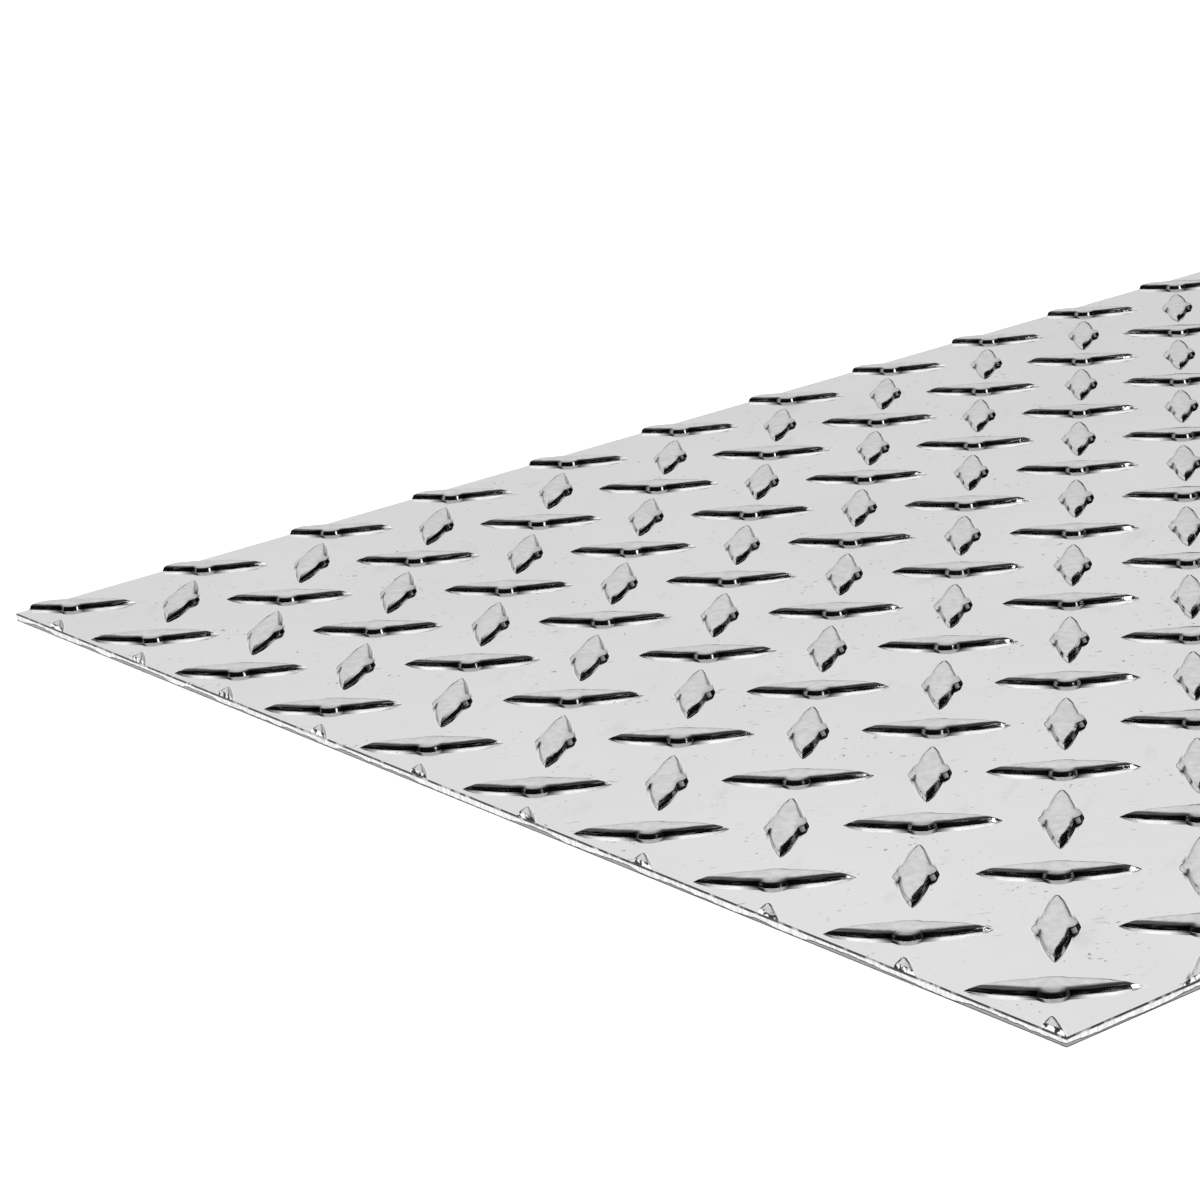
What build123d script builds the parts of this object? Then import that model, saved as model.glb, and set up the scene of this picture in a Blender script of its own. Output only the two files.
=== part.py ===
from build123d import *
import os

# A sheet of aluminium tread plate, as cut from stock: one piece of metal, flat underneath,
# with raised lugs rolled into its upper face. The lugs stand on a square grid and lie at 45
# degrees to the sheet's edges, each one pointing at the side of the next. The shear cuts the
# grid wherever it falls, so the lugs along the edges are cut through.
# Frame: X along the length, Y along the width, Z up, origin under the middle of the sheet.

# Sheet
sheet_length = 609.6
sheet_width = 304.8
sheet_thickness = 1.6

# One lug: a long pointed ridge with a short blunt swell across its middle, both of one height
ridge_length = 26.5
ridge_width = 6.2
swell_length = 9.3
swell_width = 8.0
swell_crest = 2.2
lug_height = 1.0
flank_draft = 24

# The grid of lugs, measured to the first lug from the corner at the low X and high Y end
lug_pitch = 31.75
lug_angle = 45
first_lug_from_end = 10.5
first_lug_from_side = 5.5


def raised(half_outline):
    """A form with leaning flanks and a flat top, over these corners and their half turn."""
    corners = [*half_outline, *[(-x, -y) for x, y in half_outline]]
    return extrude(make_face(Polyline(*corners, close=True)), amount=lug_height, taper=flank_draft)


def one_lug():
    """A lug along X, with the middle of its foot at zero."""
    crest = swell_crest / 2
    side = swell_width / 2
    ridge = raised([(ridge_length / 2, 0), (0, ridge_width / 2)])
    swell = raised([(swell_length / 2, 0), (crest, side), (-crest, side)])
    return ridge + swell


def grid_places(from_end, from_side):
    """The middles of one set of parallel lugs, from before the first corner to past the far edges."""
    columns = range(-1, int((sheet_length + ridge_length) / lug_pitch) + 1)
    rows = range(-1, int((sheet_width + ridge_length) / lug_pitch) + 1)
    return [
        (from_end + column * lug_pitch - sheet_length / 2, sheet_width / 2 - from_side - row * lug_pitch)
        for column in columns
        for row in rows
    ]


def is_whole(x, y):
    """Whether a lug with its middle here stands clear of every edge of the sheet."""
    reach = ridge_length / 2
    return abs(x) < sheet_length / 2 - reach and abs(y) < sheet_width / 2 - reach


def lugs_at(places, lug, trim_block):
    """The lug set down at each place, and cut at the sheet's edges where it crosses them."""
    lugs = []
    for x, y in places:
        placed = Pos(x, y, sheet_thickness) * lug
        if is_whole(x, y):
            lugs.append(placed)
            continue
        kept = placed & trim_block
        if kept:
            lugs.extend(kept.solids())
    return lugs


def tread_sheet():
    """The whole sheet as one solid: flat stock with every lug standing on its upper face."""
    from_below = (Align.CENTER, Align.CENTER, Align.MIN)
    flat_stock = Box(sheet_length, sheet_width, sheet_thickness, align=from_below)
    trim_block = Box(sheet_length, sheet_width, sheet_thickness + lug_height, align=from_below)
    lug = one_lug()
    rising = grid_places(first_lug_from_end + lug_pitch / 2, first_lug_from_side + lug_pitch / 2)
    falling = grid_places(first_lug_from_end, first_lug_from_side)
    lugs = lugs_at(rising, Rot(0, 0, lug_angle) * lug, trim_block)
    lugs += lugs_at(falling, Rot(0, 0, -lug_angle) * lug, trim_block)
    return flat_stock.fuse(*lugs)


os.makedirs("parts", exist_ok=True)
export_step(tread_sheet(), "parts/tread_sheet.step")
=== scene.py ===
# %% [markdown]
# # A sheet of aluminium tread plate
# Tread plate is one piece of metal. A plain sheet is squeezed between a smooth roll and a roll with
# pockets cut into it, and the metal that flows into the pockets stands up as lugs. This lesson loads
# the plain CAD sheet as a fixed frame, and builds a finer skin of the same size over it: one lug is
# modelled with care, a whole field is laid out from it, and the field is then cut like the real one.

import math
import random

import bmesh
import bpy
from mathutils import Matrix, Vector


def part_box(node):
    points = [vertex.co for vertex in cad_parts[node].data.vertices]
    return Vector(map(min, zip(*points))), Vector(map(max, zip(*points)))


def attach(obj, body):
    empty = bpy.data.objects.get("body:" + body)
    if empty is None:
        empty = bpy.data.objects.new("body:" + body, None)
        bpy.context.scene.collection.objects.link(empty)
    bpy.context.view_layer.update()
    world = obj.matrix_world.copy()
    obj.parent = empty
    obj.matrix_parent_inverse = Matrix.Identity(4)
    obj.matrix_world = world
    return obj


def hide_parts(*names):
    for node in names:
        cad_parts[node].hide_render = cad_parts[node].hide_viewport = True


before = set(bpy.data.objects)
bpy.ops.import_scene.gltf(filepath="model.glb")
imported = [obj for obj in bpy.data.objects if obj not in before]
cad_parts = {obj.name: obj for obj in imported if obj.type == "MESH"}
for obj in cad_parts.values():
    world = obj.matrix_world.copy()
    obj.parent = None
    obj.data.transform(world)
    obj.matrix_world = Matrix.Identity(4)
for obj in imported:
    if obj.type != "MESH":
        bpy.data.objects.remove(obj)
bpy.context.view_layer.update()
sheet_low, sheet_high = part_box("tread_sheet")

# %% [markdown]
# ## The camera
# The photograph was taken from low down beside one corner, with a long lens and a slight tilt. A long
# lens flattens the sheet and keeps its edges straight. The eye's place, the direction that it looks in
# and the tilt were fitted to the grid of lugs, so the same lens stands in the same place here.

# %% Place the camera
MM = 0.001
EYE = Vector((-644.8, -518.8, 232.3)) * MM
LOOK_AROUND = math.radians(54.076)
LOOK_DOWN = math.radians(17.827)
TILT = math.radians(5.095)
LENS = 114.84
SENSOR_WIDTH = 36

along_ground = Vector((math.cos(LOOK_AROUND), math.sin(LOOK_AROUND), 0))
look = along_ground * math.cos(LOOK_DOWN) - Vector((0, 0, math.sin(LOOK_DOWN)))
camera = bpy.data.objects.new("camera", bpy.data.cameras.new("camera"))
bpy.context.collection.objects.link(camera)
camera.data.lens = LENS
camera.data.sensor_width = SENSOR_WIDTH
turned = look.to_track_quat("-Z", "Y").to_matrix().to_4x4()
camera.matrix_world = Matrix.Translation(EYE) @ turned @ Matrix.Rotation(-TILT, 4, "Z")
bpy.context.scene.camera = camera
print("camera looks along", [round(v, 3) for v in look])

# %% [markdown]
# ## The outline of one lug
# Seen from above, a lug is a lens: two long shallow arcs that meet in a point at each end. Across its
# middle is a short round swell, where the roll's pocket was cut wider. Everything is drawn in
# millimetres here and made metres at the end. A vertex is spun about the centre of each arc in turn,
# which gives a quarter of the outline, and two mirrors give the rest. The outline is drawn a little
# outside the lug, because a narrow flat margin keeps the shading of the sheet clean.

# %% Measure the lug
SHEET_THICKNESS = 1.6
LUG_LENGTH = 26.4
LUG_WIDTH = 5.4
SWELL_WIDTH = 7.6
SWELL_LENGTH = 4.9
MARGIN = 0.4
MERGE = 0.01


def arc_through(half_chord, rise):
    """The radius of an arc that is this high over half of its chord."""
    return (half_chord**2 + rise**2) / (2 * rise)


side_radius = arc_through(LUG_LENGTH / 2, LUG_WIDTH / 2)
side_centre = LUG_WIDTH / 2 - side_radius
swell_foot = math.sqrt(side_radius**2 - (SWELL_LENGTH / 2) ** 2) + side_centre
swell_radius = arc_through(SWELL_LENGTH / 2, SWELL_WIDTH / 2 - swell_foot)
swell_centre = SWELL_WIDTH / 2 - swell_radius
print("side arc radius", round(side_radius, 2), "mm, swell radius", round(swell_radius, 2), "mm")

# %% Draw the outline
SIDE_STEPS = 4
SWELL_STEPS = 4


def spin_to(bm, vert, centre_y, end, steps):
    """Spins a vertex about a centre on the Y axis until it reaches the end, and returns the last."""
    centre = Vector((0, centre_y, 0))
    angle = (vert.co - centre).angle(Vector(end) - centre)
    spun = bmesh.ops.spin(bm, geom=[vert], cent=centre, axis=(0, 0, 1), angle=angle, steps=steps)
    return next(g for g in spun["geom_last"] if isinstance(g, bmesh.types.BMVert))


def lug_outline(bm, crease, swell_mark):
    """A closed loop round one lug, a margin outside its foot, with its swell and joints marked."""
    side = side_radius + MARGIN
    swell = swell_radius + MARGIN
    cross_y = side**2 - swell**2 - side_centre**2 + swell_centre**2
    cross_y /= 2 * (swell_centre - side_centre)
    cross_x = math.sqrt(side**2 - (cross_y - side_centre) ** 2)
    tip = bm.verts.new((math.sqrt(side**2 - side_centre**2), 0, 0))
    joint = spin_to(bm, tip, side_centre, (cross_x, cross_y, 0), SIDE_STEPS)
    sides = set(bm.verts)
    spin_to(bm, joint, swell_centre, (0, swell_centre + swell, 0), SWELL_STEPS)
    for vert in bm.verts:
        vert[swell_mark] = 0 if vert in sides else 1
    joint[crease] = 1
    joint[swell_mark] = 1
    for axis in ("X", "Y"):
        everything = bm.verts[:] + bm.edges[:]
        bmesh.ops.mirror(bm, geom=everything, matrix=Matrix(), merge_dist=MERGE, axis=axis)
    bmesh.ops.remove_doubles(bm, verts=bm.verts[:], dist=MERGE)
    return bm.edges[:]


# %% [markdown]
# ## The lug's body
# The outline is filled with one face, and that face is inset again and again: across the flat margin,
# in and up for the steep flank, and over the soft shoulder that rolling leaves. Two more rings are
# scaled instead of inset, because an inset would cross itself at the narrow noses, and they give the
# low dome of the crown. The roll leaves its pockets at a slant, so the swell is steep on one side and
# soft on the other, and the noses slope down to their points. Edges that catch a line of light are
# marked sharp: the foot and the top of the flank, the joints of the swell, and the noses' ridges.
# Each ring also writes numbers on its vertices, which tell the material where it is. The shoulders of
# one half of the lug get a mark of their own, for a painted line of dark shade along them.

# %% Measure the body
RINGS = (
    # inset, rise, foot, crown
    (MARGIN, 0.00, 1.0, 0.0),
    (0.36, 0.78, 0.0, 0.0),
    (0.28, 0.11, 0.0, 0.5),
)
DOME = (
    # scale along, scale across, rise
    (0.96, 0.72, 0.10),
    (0.95, 0.55, 0.03),
)
CROWN_RISE = 0.01
SOFT_NUB = 0.4
SOFT_NUB_MARK = 0.1
NOSE_START = 9.0
NOSE_DROP = 0.045
LINE_START = 4.0
LINE_END = 11.5
STEEP_LINE = 1.0
SOFT_LINE = 0.6
LEVEL = 0.001
print("a lug is", round(sum(r[1] for r in RINGS) + sum(d[2] for d in DOME) + CROWN_RISE, 2), "mm high")

# %% Raise one lug


def raise_flanks(bm, cap, foot, crown, swell_mark):
    """Insets the cap over the margin, the flank and the shoulder, and returns the inset of the last."""
    past_margin = 0
    for inset, rise, at_foot, at_crown in RINGS:
        bmesh.ops.inset_region(
            bm, faces=[cap], thickness=inset, depth=rise, use_boundary=True, use_even_offset=True
        )
        for vert in cap.verts:
            vert[foot] = at_foot
            vert[crown] = at_crown
        for edge in cap.edges:
            edge.smooth = at_crown > 0
        if rise > 0:
            past_margin += inset
            side = LUG_WIDTH / 2 - past_margin
            for vert in cap.verts:
                if vert[swell_mark] > 0.5 and vert.co.y > side:
                    vert.co.y = side + (vert.co.y - side) * SOFT_NUB
    return past_margin


def raise_dome(bm, cap, crown, swell_mark, half_width):
    """Scales the cap inwards and lifts it, ring by ring, with the swell drawn in on the first."""
    for ring, (along, across, rise) in enumerate(DOME):
        bmesh.ops.inset_region(bm, faces=[cap], thickness=0, depth=0, use_boundary=True)
        for vert in cap.verts:
            vert[crown] = 1.0
            if ring == 0 and vert[swell_mark] > 0.5:
                vert.co.y = math.copysign(half_width, vert.co.y)
        bmesh.ops.scale(bm, vec=(along, across, 1), verts=cap.verts[:])
        bmesh.ops.translate(bm, vec=(0, 0, rise), verts=cap.verts[:])


def lift_crown(bm, cap, crown):
    """Cuts the crown across at each pair of corners, then along its middle, and lifts the middle."""
    top = cap.calc_center_median().z
    corners = sorted(cap.verts, key=lambda v: v.co.x)
    pairs = [(corners[i], corners[i + 1]) for i in range(1, len(corners) - 2, 2)]
    for a, b in pairs:
        bmesh.ops.connect_verts(bm, verts=[a, b])
    crown_faces = [f for f in bm.faces if f.calc_center_median().z > top - LEVEL]
    geom = crown_faces + list({e for f in crown_faces for e in f.edges})
    geom += list({v for f in crown_faces for v in f.verts})
    cut = bmesh.ops.bisect_plane(bm, geom=geom, dist=LEVEL, plane_co=(0, 0, 0), plane_no=(0, 1, 0))
    middle = [g for g in cut["geom_cut"] if isinstance(g, bmesh.types.BMVert)]
    middle = [v for v in middle if v not in (corners[0], corners[-1])]
    bmesh.ops.translate(bm, vec=(0, 0, CROWN_RISE), verts=middle)
    for vert in middle:
        vert[crown] = 1.0


def raise_lug(bm, foot, crown, crease, swell_mark):
    """Builds one lug inside its outline, and returns the edges that it now has there."""
    cap = bmesh.ops.contextual_create(bm, geom=lug_outline(bm, crease, swell_mark))["faces"][0]
    if cap.normal.z < 0:
        bmesh.ops.reverse_faces(bm, faces=[cap])
    past_margin = raise_flanks(bm, cap, foot, crown, swell_mark)
    for vert in cap.verts:
        vert[crease] = 0
    raise_dome(bm, cap, crown, swell_mark, LUG_WIDTH / 2 - past_margin)
    lift_crown(bm, cap, crown)
    for vert in bm.verts:
        past = max(0, abs(vert.co.x) - NOSE_START)
        vert.co.z *= 1 - NOSE_DROP * past**2
        if vert.co.y > 0:
            vert[swell_mark] *= SOFT_NUB_MARK
    for edge in bm.edges:
        on_joint = min(v[crease] for v in edge.verts) > 0.5
        on_nose = all(abs(v.co.y) < LEVEL and abs(v.co.x) > LUG_LENGTH / 3 for v in edge.verts)
        if (on_joint or on_nose) and not edge.is_boundary:
            edge.smooth = False
    # these shoulder vertices carry a painted line of dark shade in the material
    for vert in bm.verts:
        if LINE_START < vert.co.x < LINE_END and 0 < vert[crown] < 1:
            vert[crease] = STEEP_LINE if vert.co.y < 0 else SOFT_LINE
    return [e for e in bm.edges if e.is_boundary]


# %% [markdown]
# ## A tile that fits its turned twin
# The lugs lie in two sets at right angles, each lug pointing at the side of the next. Turned by 45
# degrees, they stand on a plain square grid. A square tile is shorter than its lug, so each tile has
# its two end sides pushed out to a point and its two long sides pushed in, and tiles that are turned
# by a quarter then lock together like a jigsaw. One tile makes the whole field.

# %% Lay one tile
LUG_PITCH = 31.75
TILE = LUG_PITCH / math.sqrt(2)
TILE_PUSH = 0.4
EIGHTH_TURN = math.radians(45)


def lay_tile(bm):
    """One lug with the flat metal round it, up to the edge of its jigsaw tile."""
    marks = [bm.verts.layers.float.new(name) for name in ("foot", "crown", "crease", "swell")]
    outline = raise_lug(bm, *marks)
    square = bmesh.ops.create_circle(bm, segments=4, radius=TILE / math.sqrt(2))["verts"]
    corner = max(square, key=lambda v: v.co.x + v.co.y)
    turn = EIGHTH_TURN - math.atan2(corner.co.y, corner.co.x)
    bmesh.ops.rotate(bm, cent=(0, 0, 0), matrix=Matrix.Rotation(turn, 3, "Z"), verts=square)
    sides = [e for e in bm.edges if e.is_wire]
    bmesh.ops.subdivide_edges(bm, edges=sides, cuts=1)
    border = [e for e in bm.edges if e.is_wire]
    middles = {v for e in border for v in e.verts if min(abs(v.co.x), abs(v.co.y)) < MERGE}
    for vert in middles:
        is_end = abs(vert.co.x) > abs(vert.co.y)
        vert.co *= 1 + TILE_PUSH if is_end else 1 - TILE_PUSH
    bmesh.ops.triangle_fill(bm, use_beauty=True, edges=border + outline, normal=(0, 0, 1))


field = bmesh.new()
lay_tile(field)
print("one tile has", len(field.faces), "faces and is", round(TILE, 2), "mm square")

# %% [markdown]
# ## The field of lugs
# Two tiles, one turned each way, make a pair. The pair is copied along a row and the row is copied
# across the sheet, past every edge. Doubled vertices along the tile borders are merged, so the field
# becomes one skin.

# %% Fill the field
SHEET_LENGTH = (sheet_high.x - sheet_low.x) / MM
SHEET_WIDTH = (sheet_high.y - sheet_low.y) / MM
FIRST_FROM_END = 10.5
FIRST_FROM_SIDE = 5.5
COLUMNS = int((SHEET_LENGTH + LUG_LENGTH) / LUG_PITCH) + 2
ROWS = int((SHEET_WIDTH + LUG_LENGTH) / LUG_PITCH) + 2


def copy_along(bm, step, count):
    """Copies everything in the mesh again and again, each copy one more step away."""
    first = bm.verts[:] + bm.edges[:] + bm.faces[:]
    for i in range(1, count):
        copied = bmesh.ops.duplicate(bm, geom=first)["geom"]
        verts = [g for g in copied if isinstance(g, bmesh.types.BMVert)]
        bmesh.ops.translate(bm, vec=Vector(step) * i, verts=verts)


first_tile = field.verts[:] + field.edges[:] + field.faces[:]
twin = bmesh.ops.duplicate(field, geom=first_tile)["geom"]
twin_verts = [g for g in twin if isinstance(g, bmesh.types.BMVert)]
tile_verts = [g for g in first_tile if isinstance(g, bmesh.types.BMVert)]
for verts, lean, shift in ((tile_verts, -EIGHTH_TURN, 0), (twin_verts, EIGHTH_TURN, LUG_PITCH / 2)):
    bmesh.ops.rotate(field, cent=(0, 0, 0), matrix=Matrix.Rotation(lean, 3, "Z"), verts=verts)
    bmesh.ops.translate(field, vec=(shift, -shift, 0), verts=verts)
copy_along(field, (LUG_PITCH, 0, 0), COLUMNS)
copy_along(field, (0, -LUG_PITCH, 0), ROWS)
start_x = FIRST_FROM_END - LUG_PITCH - SHEET_LENGTH / 2
start_y = SHEET_WIDTH / 2 - FIRST_FROM_SIDE + LUG_PITCH
bmesh.ops.translate(field, vec=(start_x, start_y, SHEET_THICKNESS), verts=field.verts[:])
bmesh.ops.remove_doubles(field, verts=field.verts[:], dist=MERGE)
print("the field has", COLUMNS * ROWS * 2, "lugs and", len(field.faces), "faces")

# %% [markdown]
# ## The shear
# A guillotine shear cuts the sheet wherever the line falls, straight through the lugs. Its blade first
# rolls the upper edge over, then leaves a bright burnished band, and then the metal tears and leaves a
# rough band that leans in. The field is cut a hair inside the sheet's size. The cut edge is then
# extruded in rings that follow those bands, and a few seeded nicks keep it from looking machined.

# %% Cut the field to the sheet's size
ROLL_OVER = 0.10
half_length = SHEET_LENGTH / 2
half_width = SHEET_WIDTH / 2
for x, y in ((1, 0), (-1, 0), (0, 1), (0, -1)):
    everything = field.verts[:] + field.edges[:] + field.faces[:]
    reach = Vector((x * (half_length - ROLL_OVER), y * (half_width - ROLL_OVER), 0))
    bmesh.ops.bisect_plane(
        field, geom=everything, dist=LEVEL, plane_co=reach, plane_no=(x, y, 0), clear_outer=True
    )
print("cut to", len(field.faces), "faces")

# %% Divide the cut edge
EDGE_STEP = 1.6
MOST_CUTS = 12
rim = [e for e in field.edges if e.is_boundary]
for edge in rim:
    edge.smooth = False
for cuts in range(1, MOST_CUTS):
    part = [e for e in rim if e.is_valid and int(e.calc_length() / EDGE_STEP) == cuts]
    if part:
        bmesh.ops.subdivide_edges(field, edges=part, cuts=cuts)
rim = [e for e in field.edges if e.is_boundary]
print("the rim has", len(rim), "short edges")

# %% Make the cut edge
ROLL_DROP = 0.09
BURNISH_END = 0.95
BURNISH_WAVE = 0.12
TEAR_LEAN = 0.06
BURR_HEIGHT = 0.08
BURR_LEAN = 0.04
NICK = 0.07
NICK_SHARE = 0.25
SHALLOWEST = 0.2
SIDE_BAND = 1
NEARLY_FLAT = 0.95
random.seed(11)


def next_ring(bm, edges, grow, height):
    """Extrudes a ring from the cut edge, grown sideways, and moved to the height that it is given."""
    made = bmesh.ops.extrude_edge_only(bm, edges=edges)["geom"]
    verts = [g for g in made if isinstance(g, bmesh.types.BMVert)]
    for vert in verts:
        x, y, z = vert.co
        if abs(x) > half_length - SIDE_BAND:
            x = math.copysign(abs(x) + grow, x)
        if abs(y) > half_width - SIDE_BAND:
            y = math.copysign(abs(y) + grow, y)
        vert.co = (x, y, height(z))
    return verts, [g for g in made if isinstance(g, bmesh.types.BMEdge)]


def burnish_end(z):
    """The lower end of the burnished band, which wanders along the edge."""
    return BURNISH_END + random.uniform(-BURNISH_WAVE, BURNISH_WAVE)


top_faces = set(field.faces)
rolled_verts, ring = next_ring(field, rim, ROLL_OVER, lambda z: z - ROLL_DROP)
ring = next_ring(field, ring, 0, burnish_end)[1]
torn_verts, ring = next_ring(field, ring, -TEAR_LEAN, lambda z: BURR_HEIGHT)
ring = next_ring(field, ring, -BURR_LEAN, lambda z: 0)[1]
for vert in rolled_verts + torn_verts:
    if random.random() < NICK_SHARE:
        depth = random.uniform(SHALLOWEST, 1) * NICK
        vert.co.x -= math.copysign(depth, vert.co.x) if abs(vert.co.x) > half_length - SIDE_BAND else 0
        vert.co.y -= math.copysign(depth, vert.co.y) if abs(vert.co.y) > half_width - SIDE_BAND else 0
for edge in ring:
    edge.smooth = False
bmesh.ops.contextual_create(field, geom=ring)
bmesh.ops.recalc_face_normals(field, faces=field.faces[:])
edge_faces = [f for f in field.faces if f not in top_faces and abs(f.normal.z) < NEARLY_FLAT]
print("the cut edge has", len(edge_faces), "faces")

# %% [markdown]
# ## From mesh to piece
# The bmesh becomes a mesh in metres, with two material places: the rolled faces and the sheared edge.
# Faces are shaded smooth, and a Weighted Normal modifier lets the large flat faces decide, so that the
# flat metal between the lugs stays as flat as a mirror.

# %% Turn the mesh into a piece
for face in field.faces:
    face.smooth = True
    face.material_index = 0
for face in edge_faces:
    face.material_index = 1
bmesh.ops.scale(field, vec=(MM, MM, MM), verts=field.verts[:])
skin_mesh = bpy.data.meshes.new("tread_skin")
field.to_mesh(skin_mesh)
field.free()
tread_skin = bpy.data.objects.new("tread_skin", skin_mesh)
bpy.context.collection.objects.link(tread_skin)
shading = tread_skin.modifiers.new("even_shading", "WEIGHTED_NORMAL")
shading.mode = "FACE_AREA"
shading.keep_sharp = True
triangles = sum(len(p.vertices) - 2 for p in skin_mesh.polygons)
print("tread_skin has", triangles, "triangles")

# %% [markdown]
# ## Helpers for materials
# Every material here is built from the same few steps. Noises are drawn at a size in millimetres,
# ramps turn a noise or a height softly into a factor, and colours are laid over each other by those
# factors. A material's noises, ramps and colours stand in small tables, so that they are easy to find
# and to try out, and a short loop turns each row into a node.

# %% Small helpers for materials
def linear(hex_colour):
    """An sRGB hex colour as the linear colour that shader sockets take."""
    values = [int(hex_colour[i : i + 2], 16) / 255 for i in (1, 3, 5)]
    straight = [v / 12.92 if v <= 0.04045 else ((v + 0.055) / 1.055) ** 2.4 for v in values]
    return (*straight, 1)


def add_node(tree, kind, inputs=None, **settings):
    """Adds a node. Inputs are values, or outputs of other nodes to link from."""
    node = tree.nodes.new(kind)
    for name, value in settings.items():
        setattr(node, name, value)
    for name, value in (inputs or {}).items():
        socket = node.inputs[name]
        if isinstance(value, bpy.types.NodeSocket):
            tree.links.new(value, socket)
        else:
            socket.default_value = value
    return node


def new_material(name):
    """A material with an empty node tree."""
    material = bpy.data.materials.new(name)
    material.use_nodes = True
    material.node_tree.nodes.clear()
    return material


def start_in_mm(tree):
    """Values to build on: the place on the piece in millimetres, and the height in that."""
    place = add_node(tree, "ShaderNodeTexCoord").outputs["Object"]
    scale = (1 / MM, 1 / MM, 1 / MM)
    in_mm = add_node(tree, "ShaderNodeMapping", {"Vector": place, "Scale": scale}).outputs[0]
    return {"place": in_mm, "height": add_node(tree, "ShaderNodeSeparateXYZ", {0: in_mm}).outputs["Z"]}


EVEN = (1, 1, 1)
RAMP_ENDS = ("From Min", "From Max", "To Min", "To Max")
print("mid grey is", round(linear("#808080")[0], 3), "to a shader")

# %% [markdown]
# ## Bright rolled aluminium
# Mill-finish aluminium that leaves polished rolls is nearly a mirror, softened by a very fine grain.
# It is a pure metal surface, so it has no colour of its own beyond a faint cool grey, and the eye sees
# mostly the room in it. Handling leaves smudges, short scuffs and specks. The walls of the pockets
# leave fine streaks along the flanks, and feet rub the crowns a little duller. A painted white
# highlight rings the foot of each lug, and a thin painted dark shade runs along the foot of each flank.
# The swell's walls are painted a darker grey, a painted shade that dims their glints, and painted dark
# shade lies where the swell joins the lug and along its shoulders.
# Metals keep Blender's own IOR. The specks are drawn coarser than real dust, to show in the picture.

# %% Tables for the rolled face
rolled = new_material("bright_rolled_aluminium")
tree = rolled.node_tree
ROLLED_NOISES = {
    # name: size in mm, detail, stretch, turn in degrees
    "cloud": (60, 3.0, EVEN, 0),
    "smudge": (7, 4.0, (2.2, 0.8, 1), 35),
    "speck": (1.1, 1.0, EVEN, 0),
    "speck_area": (14, 2.0, EVEN, 0),
    "scuff": (0.8, 2.0, (4, 1, 1), -28),
    "scuff_area": (12, 2.0, EVEN, 0),
    "mottle": (1.6, 4.0, EVEN, 0),
    "streak": (0.35, 2.0, (9, 9, 0.6), 0),
    "dents": (1.8, 3.0, EVEN, 0),
}
ROLLED_RAMPS = {
    # name: value, from, to, result at from, result at to
    "cloudy": ("cloud", 0.3, 0.7, 0, 1),
    "smudged": ("smudge", 0.60, 0.78, 0, 0.5),
    "specks": ("speck", 0.68, 0.78, 0, 1),
    "specks_here": ("speck_area", 0.5, 0.62, 0, 1),
    "scuffs": ("scuff", 0.62, 0.78, 0, 1),
    "scuffs_here": ("scuff_area", 0.52, 0.62, 0, 1),
    "mottled": ("mottle", 0.3, 0.7, 0, 1),
    "streaked": ("streak", 0.35, 0.7, 0, 1),
    # where the painted dark shade along the foot of each flank lies
    "painted_foot_shade": ("height", SHEET_THICKNESS + 0.12, SHEET_THICKNESS + 0.05, 0, 1),
    "on_flank": ("height", SHEET_THICKNESS + 0.02, SHEET_THICKNESS + 0.05, 0, 1),
    "sheet_haze": ("smudge", 0.5, 0.8, 0.07, 0.15),
    "flank_haze": ("streak", 0.50, 0.72, 0.08, 0.28),
}
ROLLED_COLOURS = (
    # result, what lies under, factor, what is laid over
    ("face", "#e7e7e8", "cloudy", "#ebebec"),
    ("face", "face", "smudged", "#d8d8d9"),
    ("face", "face", "specks", "#9a9a9b"),
    ("face", "face", "scuffs", "#b4b4b5"),
    # painted highlight: the flat metal round the foot of each lug is painted near white
    ("face", "face", "painted_foot_highlight", "#fbfbfb"),
    ("flank", "#c4c4c5", "streaked", "#e4e4e5"),
    # painted shade: the swell's walls are painted a darker grey, which dims the glints that they mirror
    ("flank", "flank", "swell", "#929293"),
    # painted shade: a thin dark band is painted along the foot of each flank
    ("flank", "flank", "painted_foot_shade", "#606061"),
    ("top", "#d4d4d5", "mottled", "#e4e4e5"),
    ("colour", "face", "on_flank", "flank"),
    ("colour", "colour", "crown", "top"),
    # painted shade: the swell's joints and the shoulder lines are painted dark
    ("colour", "colour", "painted_crease_shade", "#4a4a4b"),
)
print("rolled face:", len(ROLLED_NOISES), "noises and", len(ROLLED_RAMPS), "ramps")

# %% Noises, ramps and marks of the rolled face
FOOT_HIGHLIGHT_FADE = 2.0
CREASE_SHADE_FADE = 1.5
value = start_in_mm(tree)
for name in ("foot", "crown", "crease", "swell"):
    value[name] = add_node(tree, "ShaderNodeAttribute", attribute_name=name).outputs["Fac"]
for name, (size, detail, stretch, turn) in ROLLED_NOISES.items():
    scale = [size * s for s in stretch]
    settings = {"Vector": value["place"], "Scale": scale, "Rotation": (0, 0, math.radians(turn))}
    mapped = add_node(tree, "ShaderNodeMapping", settings, vector_type="TEXTURE").outputs[0]
    settings = {"Vector": mapped, "Scale": 1.0, "Detail": detail}
    value[name] = add_node(tree, "ShaderNodeTexNoise", settings).outputs[0]
for name, (source, *ends) in ROLLED_RAMPS.items():
    settings = {"Value": value[source], **dict(zip(RAMP_ENDS, ends))}
    ramp = add_node(tree, "ShaderNodeMapRange", settings, interpolation_type="SMOOTHSTEP")
    value[name] = ramp.outputs[0]
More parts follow.
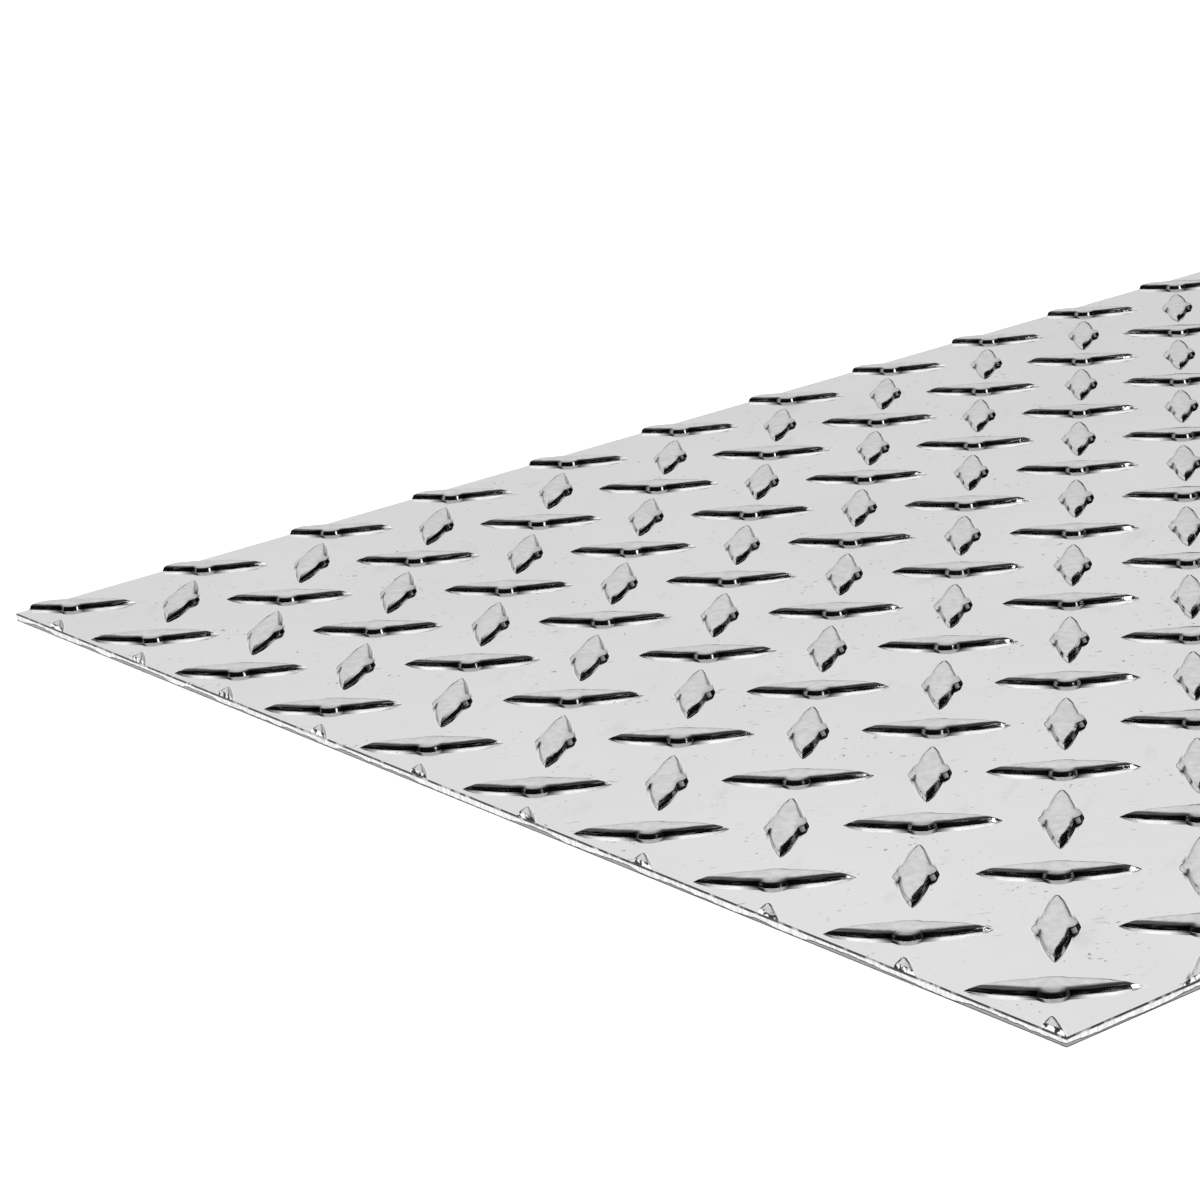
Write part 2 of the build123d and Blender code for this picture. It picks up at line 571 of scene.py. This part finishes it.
for name, a, b, operation in (
    ("specks", value["specks"], value["specks_here"], "MULTIPLY"),
    ("scuffs", value["scuffs"], value["scuffs_here"], "MULTIPLY"),
    ("flank_dents", value["dents"], value["on_flank"], "MULTIPLY"),
    # the foot mark, sharpened, lays the painted white highlight round each lug's foot
    ("painted_foot_highlight", value["foot"], FOOT_HIGHLIGHT_FADE, "POWER"),
    # the crease mark, sharpened, lays painted dark shade in the swell's joints and along the shoulders
    ("painted_crease_shade", value["crease"], CREASE_SHADE_FADE, "POWER"),
):
    value[name] = add_node(tree, "ShaderNodeMath", {0: a, 1: b}, operation=operation).outputs[0]
print("the rolled face has", len(tree.nodes), "nodes so far")

# %% Colour, gloss and dents of the rolled face
SWELL_HAZE = 0.12
CROWN_HAZE = 0.16
DENT_DEPTH = 0.05
for result, under, factor, over in ROLLED_COLOURS:
    a, b = (linear(c) if c.startswith("#") else value[c] for c in (under, over))
    settings = {"Factor": value[factor], "A": a, "B": b}
    value[result] = add_node(tree, "ShaderNodeMix", settings, data_type="RGBA").outputs["Result"]
settings = {"Factor": value["swell"], "A": value["flank_haze"], "B": SWELL_HAZE}
flank_haze = add_node(tree, "ShaderNodeMix", settings, data_type="FLOAT").outputs[0]
settings = {"Factor": value["on_flank"], "A": value["sheet_haze"], "B": flank_haze}
haze = add_node(tree, "ShaderNodeMix", settings, data_type="FLOAT").outputs[0]
settings = {"Factor": value["crown"], "A": haze, "B": CROWN_HAZE}
haze = add_node(tree, "ShaderNodeMix", settings, data_type="FLOAT").outputs[0]
settings = {"Height": value["flank_dents"], "Strength": 1.0, "Distance": DENT_DEPTH * MM}
bump = add_node(tree, "ShaderNodeBump", settings).outputs[0]
settings = {
    "Base Color": value["colour"],
    "Metallic": 1.0,
    "Roughness": haze,
    "Normal": bump,
    "Specular Tint": linear("#dcdcdc"),
}
shader = add_node(tree, "ShaderNodeBsdfPrincipled", settings)
add_node(tree, "ShaderNodeOutputMaterial", {"Surface": shader.outputs[0]})
print("the rolled face has", len(tree.nodes), "nodes in all")

# %% [markdown]
# ## The sheared edge
# The same aluminium, freshly cut. The blade drags the metal down, so the burnished band above is
# bright with fine upright lines. Below a wandering line the metal has torn, and is a duller grey. To
# the eye these are thin bright and dark lines along the edge, and the dark ones are painted shade: a
# broken dark line under the rolled-over corner, a dark line where the tear begins, and a dark line at
# the burr below. Where the cut goes through a lug, the end of the lug is torn and patchy.

# %% Tables for the sheared edge
sheared = new_material("sheared_aluminium_edge")
tree = sheared.node_tree
SHEARED_NOISES = {
    # name: size in mm, detail, stretch, turn in degrees
    "drag": (0.5, 3.0, (1, 1, 5), 0),
    "ragged": (1.2, 3.0, EVEN, 0),
    "wander": (14, 2.0, EVEN, 0),
    "break": (2.6, 3.0, EVEN, 0),
}
SHEARED_RAMPS = {
    # name: value, from, to, result at from, result at to
    "dragged": ("drag", 0.35, 0.65, 0, 1),
    "tear_rise": ("wander", 0.38, 0.62, 0, 0.55),
    # where the painted shade along the bottom of the edge lies
    "painted_burr_shade": ("height", 0.24, 0.12, 0, 0.92),
    "broken": ("break", 0.36, 0.5, 0.35, 0.95),
    "under_lip": ("height", SHEET_THICKNESS - 0.46, SHEET_THICKNESS - 0.26, 0, 1),
    "on_lug": ("height", SHEET_THICKNESS + 0.02, SHEET_THICKNESS + 0.14, 0, 1),
    "torn": ("ragged", 0.45, 0.54, 0, 1),
}
TEAR_RAMPS = {
    # name: value, from, to, result at from, result at to
    # a painted line of shade just under the top of the tear
    "painted_tear_shade": ("above_tear", -0.16, -0.04, 0, 1),
    "burnished": ("above_tear", 0.0, 0.1, 0, 1),
}
SHEARED_COLOURS = (
    # result, what lies under, factor, what is laid over
    ("light", "#d6d6d6", "dragged", "#f2f2f2"),
    ("lug_end", "#262627", "torn", "#f0f0f0"),
    # painted shade: a dark line where the tear begins
    ("colour", "#9c9c9d", "painted_tear_shade", "#2a2a2b"),
    ("colour", "colour", "burnished", "light"),
    # painted shade: a dark line along the bottom of the cut edge, at the burr
    ("colour", "colour", "painted_burr_shade", "#2a2a2b"),
    # painted shade: a broken dark line under the rolled-over corner
    ("colour", "colour", "painted_lip_shade", "#262627"),
    ("colour", "colour", "on_lug", "lug_end"),
)
print("sheared edge:", len(SHEARED_NOISES), "noises and", len(SHEARED_RAMPS | TEAR_RAMPS), "ramps")

# %% Noises and ramps of the sheared edge
TEAR_ROUGHNESS = 0.4
value = start_in_mm(tree)
for name, (size, detail, stretch, turn) in SHEARED_NOISES.items():
    scale = [size * s for s in stretch]
    settings = {"Vector": value["place"], "Scale": scale, "Rotation": (0, 0, math.radians(turn))}
    mapped = add_node(tree, "ShaderNodeMapping", settings, vector_type="TEXTURE").outputs[0]
    settings = {"Vector": mapped, "Scale": 1.0, "Detail": detail}
    value[name] = add_node(tree, "ShaderNodeTexNoise", settings).outputs[0]
for table in (SHEARED_RAMPS, TEAR_RAMPS):
    for name, (source, *ends) in table.items():
        settings = {"Value": value[source], **dict(zip(RAMP_ENDS, ends))}
        ramp = add_node(tree, "ShaderNodeMapRange", settings, interpolation_type="SMOOTHSTEP")
        value[name] = ramp.outputs[0]
    if table is SHEARED_RAMPS:
        settings = {0: value["ragged"], 1: TEAR_ROUGHNESS, 2: value["tear_rise"]}
        tear_top = add_node(tree, "ShaderNodeMath", settings, operation="MULTIPLY_ADD").outputs[0]
        settings = {0: value["height"], 1: tear_top}
        above = add_node(tree, "ShaderNodeMath", settings, operation="SUBTRACT").outputs[0]
        value["above_tear"] = above
print("the sheared edge has", len(tree.nodes), "nodes so far")

# %% Colour and gloss of the sheared edge
EDGE_HAZE = 0.35
# the painted shade under the rolled-over corner, broken by noise
pair = {0: value["under_lip"], 1: value["broken"]}
value["painted_lip_shade"] = add_node(tree, "ShaderNodeMath", pair, operation="MULTIPLY").outputs[0]
for result, under, factor, over in SHEARED_COLOURS:
    a, b = (linear(c) if c.startswith("#") else value[c] for c in (under, over))
    settings = {"Factor": value[factor], "A": a, "B": b}
    value[result] = add_node(tree, "ShaderNodeMix", settings, data_type="RGBA").outputs["Result"]
settings = {"Base Color": value["colour"], "Metallic": 1.0, "Roughness": EDGE_HAZE}
shader = add_node(tree, "ShaderNodeBsdfPrincipled", settings)
add_node(tree, "ShaderNodeOutputMaterial", {"Surface": shader.outputs[0]})
tread_skin.data.materials.append(rolled)
tread_skin.data.materials.append(sheared)
print("the sheared edge has", len(tree.nodes), "nodes in all")

# %% [markdown]
# ## A plain white studio
# The photograph's background is white and the light is soft. The floor is white paper. It glows a
# little where the camera sees it, straight or in the metal, so that it is pure white and still keeps
# the sheet's shadow.

# %% Floor
FLOOR_HALF = 8
FLOOR_GAP = 0.0001
FLOOR_GLOW = 0.45
floor_mesh = bpy.data.meshes.new("floor")
bm = bmesh.new()
bmesh.ops.create_grid(bm, x_segments=1, y_segments=1, size=FLOOR_HALF)
bmesh.ops.translate(bm, vec=(0, 0, -FLOOR_GAP), verts=bm.verts[:])
bm.to_mesh(floor_mesh)
bm.free()
floor = bpy.data.objects.new("floor", floor_mesh)
bpy.context.collection.objects.link(floor)
paper = new_material("white_paper_floor")
tree = paper.node_tree
ray = add_node(tree, "ShaderNodeLightPath").outputs
pair = {0: ray["Is Camera Ray"], 1: ray["Is Glossy Ray"]}
seen = add_node(tree, "ShaderNodeMath", pair, operation="ADD").outputs[0]
pair = {0: seen, 1: ray["Is Transmission Ray"]}
seen = add_node(tree, "ShaderNodeMath", pair, operation="ADD", use_clamp=True).outputs[0]
glow = add_node(tree, "ShaderNodeMath", {0: seen, 1: FLOOR_GLOW}, operation="MULTIPLY").outputs[0]
matt = add_node(tree, "ShaderNodeBsdfDiffuse", {"Color": linear("#eeeeee")}).outputs[0]
lit = add_node(tree, "ShaderNodeEmission", {"Color": (1, 1, 1, 1), "Strength": glow}).outputs[0]
both = add_node(tree, "ShaderNodeAddShader", {0: matt, 1: lit}).outputs[0]
add_node(tree, "ShaderNodeOutputMaterial", {"Surface": both})
floor_mesh.materials.append(paper)
print("the floor is", 2 * FLOOR_HALF, "m wide")

# %% [markdown]
# ## The sky of the studio
# Metal shows what stands round it, so the world is drawn for the metal. It is white round the horizon,
# which the flat sheet mirrors. High up ahead it is dim, and the near shoulders of the lugs mirror that
# and turn dark. High up behind the camera is a brighter band. The flat metal just in front of a lug
# mirrors the flank, which mirrors that band, and this draws the white line at the foot of each lug.

# %% World
SKY_LEVEL = 1.0
DIM_LEVEL = 0.12
SKY_RAMPS = {
    # name: value, from, to, result at from, result at to
    "high": ("up", 0.46, 0.70, 0, 1),
    "far": ("ahead", 0.04, 0.26, 0, 1),
    "behind": ("ahead", 0.08, -0.06, 0, 1),
    "overhead": ("up", 0.74, 0.82, 0, 1),
    "below_top": ("up", 0.985, 0.95, 0, 1),
}
world = bpy.data.worlds.new("studio")
world.use_nodes = True
bpy.context.scene.world = world
tree = world.node_tree
tree.nodes.clear()
direction = add_node(tree, "ShaderNodeTexCoord").outputs["Generated"]
pair = {0: direction, 1: along_ground}
value = {
    "up": add_node(tree, "ShaderNodeSeparateXYZ", {0: direction}).outputs["Z"],
    "ahead": add_node(tree, "ShaderNodeVectorMath", pair, operation="DOT_PRODUCT").outputs["Value"],
}
for name, (source, *ends) in SKY_RAMPS.items():
    settings = {"Value": value[source], **dict(zip(RAMP_ENDS, ends))}
    ramp = add_node(tree, "ShaderNodeMapRange", settings, interpolation_type="SMOOTHSTEP")
    value[name] = ramp.outputs[0]
pair = {0: value["high"], 1: value["far"]}
dim = add_node(tree, "ShaderNodeMath", pair, operation="MULTIPLY").outputs[0]
settings = {"Value": dim, "To Min": SKY_LEVEL, "To Max": DIM_LEVEL}
level = add_node(tree, "ShaderNodeMapRange", settings).outputs[0]
pair = {0: value["overhead"], 1: value["below_top"]}
band = add_node(tree, "ShaderNodeMath", pair, operation="MULTIPLY").outputs[0]
band = add_node(tree, "ShaderNodeMath", {0: value["behind"], 1: band}, operation="MULTIPLY").outputs[0]
level = add_node(tree, "ShaderNodeMath", {0: level, 1: band}, operation="ADD").outputs[0]
sky = add_node(tree, "ShaderNodeBackground", {"Color": (1, 1, 1, 1), "Strength": level}).outputs[0]
add_node(tree, "ShaderNodeOutputWorld", {"Surface": sky})
print("the sky goes from", SKY_LEVEL, "at the horizon to", DIM_LEVEL, "high ahead")

# %% [markdown]
# ## Black cloth outside the picture
# A photographer who wants bright metal to show its shape sets black cloth outside the picture. The
# flat sheet never mirrors it, but each steep flank does, and that draws the lugs in black. Every cloth
# is a piece of one dome round the sheet: a vertex is spun upwards into a bow, and the bow is spun
# round. The gaps between the cloths are left where the flat sheet looks when it is seen from elsewhere.

# %% Hang the cloths
CLOTH_RADIUS = 3.0
CLOTH_ROWS = 12
CLOTH_COLUMNS = 24
CLOTHS = (
    # name, from and to in degrees round from +X, lower and upper height in degrees
    ("cloth_behind_camera", 150, 250, 9, 44),
    ("cloth_over_shoulder", 250, 330, 34, 46),
    ("cloth_at_shoulder", 250, 330, 22, 34),
    ("cloth_below_shoulder", 250, 298, 8, 22),
    ("cloth_low_front", 252, 310, 0, 8),
    ("cloth_at_left", 108, 150, 0, 15),
    ("cloth_at_right", -30, 12, 0, 46),
    ("cloth_beside_right", 12, 24, 0, 22),
    ("cloth_low_right", 24, 36, 0, 20),
    ("cloth_over_right", 12, 38, 25, 46),
    ("cloth_ahead_right", 36, 47, 0, 7),
)
black = new_material("black_cloth")
tree = black.node_tree
matt = add_node(tree, "ShaderNodeBsdfDiffuse", {"Color": linear("#0c0c0c")}).outputs[0]
add_node(tree, "ShaderNodeOutputMaterial", {"Surface": matt})


def hang_cloth(name, from_angle, to_angle, low, high):
    """A black cloth, part of a dome round the sheet, between these directions and heights."""
    bm = bmesh.new()
    start = Matrix.Rotation(-math.radians(low), 3, "Y") @ Vector((CLOTH_RADIUS, 0, 0))
    bottom = bm.verts.new(start)
    rise = math.radians(high - low)
    bmesh.ops.spin(bm, geom=[bottom], cent=(0, 0, 0), axis=(0, -1, 0), angle=rise, steps=CLOTH_ROWS)
    turn = Matrix.Rotation(math.radians(from_angle), 3, "Z")
    bmesh.ops.rotate(bm, cent=(0, 0, 0), matrix=turn, verts=bm.verts[:])
    sweep = math.radians(to_angle - from_angle)
    bow = bm.verts[:] + bm.edges[:]
    bmesh.ops.spin(bm, geom=bow, cent=(0, 0, 0), axis=(0, 0, 1), angle=sweep, steps=CLOTH_COLUMNS)
    mesh = bpy.data.meshes.new(name)
    bm.to_mesh(mesh)
    bm.free()
    cloth = bpy.data.objects.new(name, mesh)
    bpy.context.collection.objects.link(cloth)
    mesh.materials.append(black)
    cloth.visible_camera = False
    cloth.visible_diffuse = False
    cloth.visible_shadow = False


for cloth_row in CLOTHS:
    hang_cloth(*cloth_row)
print(len(CLOTHS), "cloths hang round the sheet")

# %% [markdown]
# ## One soft lamp
# A soft lamp stands to the right of the camera. It gives the right-hand noses of the lugs their white
# glints and the floor its faint shadow.

# %% Set up the lamp
LAMP_AROUND = math.radians(-93)
LAMP_UP = math.radians(34)
LAMP_DISTANCE = 2.6
LAMP_SIZE = 0.5
LAMP_POWER = 4.0
level_way = Vector((math.cos(LAMP_AROUND), math.sin(LAMP_AROUND), 0))
towards = level_way * math.cos(LAMP_UP) + Vector((0, 0, math.sin(LAMP_UP)))
lamp = bpy.data.objects.new("soft_lamp", bpy.data.lights.new("soft_lamp", "AREA"))
bpy.context.collection.objects.link(lamp)
lamp.data.size = LAMP_SIZE
lamp.data.energy = LAMP_POWER
facing = towards.to_track_quat("Z", "Y").to_matrix().to_4x4()
lamp.matrix_world = Matrix.Translation(towards * LAMP_DISTANCE) @ facing
print("the lamp stands at", [round(v, 2) for v in towards * LAMP_DISTANCE])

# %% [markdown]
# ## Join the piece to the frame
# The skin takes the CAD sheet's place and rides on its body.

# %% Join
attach(tread_skin, "root")
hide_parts("tread_sheet")
bpy.context.scene.view_settings.view_transform = "Standard"
